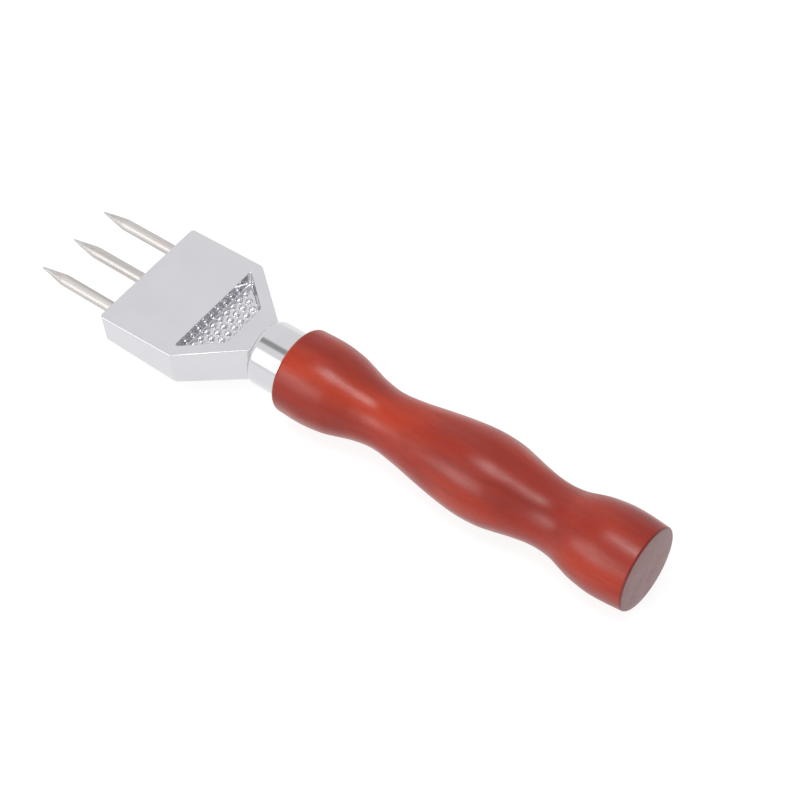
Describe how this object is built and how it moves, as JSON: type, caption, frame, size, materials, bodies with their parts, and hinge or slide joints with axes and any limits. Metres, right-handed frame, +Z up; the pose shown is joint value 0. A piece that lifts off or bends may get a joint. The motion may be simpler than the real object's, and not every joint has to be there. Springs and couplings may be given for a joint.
{
  "type": "uncapping fork",
  "caption": "Hand fork with straight steel prongs in a wedge-shaped chromed head with a studded finger rest, on a collar and a turned, waisted wooden handle.",
  "frame": {"origin": "centre of the handle's flat end face", "axes": "+X along the tool from the handle's flat end to the prongs' points, +Z up out of the head's broad face, +Y to the left when looking along +X"},
  "size_m": [0.179, 0.0358, 0.023],
  "materials": {
    "handle_wood": "red-brown stained wood under satin-gloss lacquer",
    "collar_chrome": "polished chrome plate",
    "stud_steel": "zinc-plated screw steel",
    "head_chrome": "bright satin chrome plate on a casting",
    "prong_steel": "ground stainless steel, fine lines along the prong"
  },
  "bodies": {
    "root": {"handle": "handle_wood", "collar": "collar_chrome", "double_ended_stud": "stud_steel", "head": "head_chrome", "prong_left": "prong_steel", "prong_middle": "prong_steel", "prong_right": "prong_steel"}
  },
  "joints": []
}
